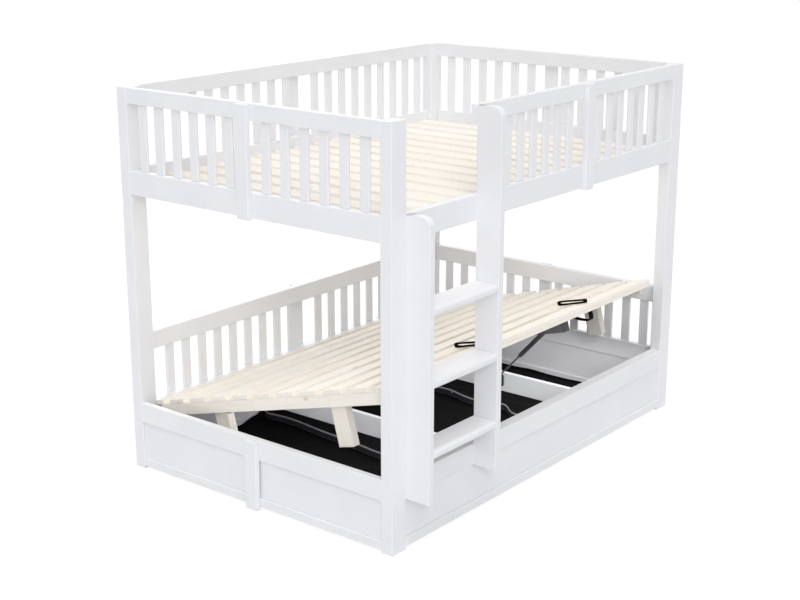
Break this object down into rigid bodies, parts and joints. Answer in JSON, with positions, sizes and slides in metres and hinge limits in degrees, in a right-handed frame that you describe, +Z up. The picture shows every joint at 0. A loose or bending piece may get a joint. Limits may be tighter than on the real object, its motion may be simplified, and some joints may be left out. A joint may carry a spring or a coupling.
{
  "type": "bunk bed",
  "caption": "Bunk bed with slatted guard railings, a wide-step ladder, and a gas-strut slatted platform that lifts over a storage space under the lower bunk.",
  "frame": {"origin": "centre of the whole bed's footprint, on the ground", "axes": "+X along the bed from the ladder end to the far end, +Y from the ladder side to the back, +Z up"},
  "size_m": [2.167, 1.5714, 1.658],
  "materials": {
    "white_paint": "satin white paint on solid timber",
    "pine": "bare planed pine, finger-jointed",
    "dark_steel": "dark grey powder coat",
    "bright_steel": "ground steel rod",
    "black_webbing": "woven black webbing",
    "black_fabric": "non-woven black fabric"
  },
  "bodies": {
    "bed_frame": {"post_front_near": "white_paint", "post_back_near": "white_paint", "post_front_far": "white_paint", "post_back_far": "white_paint", "upper_near_railing": "white_paint", "upper_near_board": "white_paint", "upper_near_stile": "white_paint", "upper_far_railing": "white_paint", "upper_far_board": "white_paint", "upper_far_stile": "white_paint", "upper_back_railing": "white_paint", "upper_back_board": "white_paint", "upper_back_stile": "white_paint", "guard_railing": "white_paint", "upper_front_board": "white_paint", "guard_stile": "white_paint", "lower_near_panel": "white_paint", "lower_near_leg": "white_paint", "lower_front_panel": "white_paint", "lower_far_panel": "white_paint", "lower_far_railing": "white_paint", "lower_far_leg": "white_paint", "lower_back_panel": "white_paint", "lower_back_railing": "white_paint", "lower_back_leg": "white_paint", "cross_board_near": "white_paint", "cross_board_far": "white_paint", "ladder_stringer_left": "white_paint", "ladder_stringer_right": "white_paint", "ladder_step_1": "white_paint", "ladder_step_2": "white_paint", "ladder_step_3": "white_paint", "upper_ledger_front": "pine", "upper_ledger_back": "pine", "upper_slat_deck": "pine", "storage_liner_near": "black_fabric", "storage_liner_middle": "black_fabric", "storage_liner_far": "black_fabric", "pivot_bracket_near": "dark_steel", "pivot_bracket_far": "dark_steel", "strut_bracket_near": "dark_steel", "strut_bracket_far": "dark_steel"},
    "lift_platform": {"platform_slats": "pine", "platform_nose_strip": "pine", "platform_rail_near": "pine", "platform_rail_far": "pine", "platform_leg_near_1": "pine", "platform_leg_near_2": "pine", "platform_leg_far_1": "pine", "platform_leg_far_2": "pine", "pull_loop_near": "black_webbing", "pull_loop_far": "black_webbing", "pull_strap": "black_webbing", "lift_arm_near": "dark_steel", "lift_arm_far": "dark_steel"},
    "strut_cylinder_near": {"strut_cylinder_near": "dark_steel"},
    "strut_rod_near": {"strut_rod_near": "bright_steel"},
    "strut_cylinder_far": {"strut_cylinder_far": "dark_steel"},
    "strut_rod_far": {"strut_rod_far": "bright_steel"}
  },
  "joints": [
    {"name": "platform_lift", "type": "hinge", "parent": "bed_frame", "child": "lift_platform", "pos_m": [0, 0.52655, 0.2502], "axis": [1, 0, 0], "range_deg": [0, 15.2], "stiffness_Nm_per_rad": 120, "springref_deg": -126.05},
    {"name": "strut_swing_near", "type": "hinge", "parent": "lift_platform", "child": "strut_cylinder_near", "pos_m": [-0.385, -0.41409, 0.49913], "axis": [1, 0, 0], "range_deg": [0, 23.2]},
    {"name": "strut_slide_near", "type": "slide", "parent": "strut_cylinder_near", "child": "strut_rod_near", "axis": [0, -0.6791, 0.7341], "range_m": [0, 0.0969]},
    {"name": "strut_swing_far", "type": "hinge", "parent": "lift_platform", "child": "strut_cylinder_far", "pos_m": [0.385, -0.41409, 0.49913], "axis": [1, 0, 0], "range_deg": [0, 23.2]},
    {"name": "strut_slide_far", "type": "slide", "parent": "strut_cylinder_far", "child": "strut_rod_far", "axis": [0, -0.6791, 0.7341], "range_m": [0, 0.0969]}
  ],
  "couplings": [
    {"joint": "strut_swing_near", "follows": "platform_lift", "ratio": 1.5255},
    {"joint": "strut_slide_near", "follows": "platform_lift", "m_per_rad": 0.36501},
    {"joint": "strut_swing_far", "follows": "platform_lift", "ratio": 1.5255},
    {"joint": "strut_slide_far", "follows": "platform_lift", "m_per_rad": 0.36501}
  ]
}
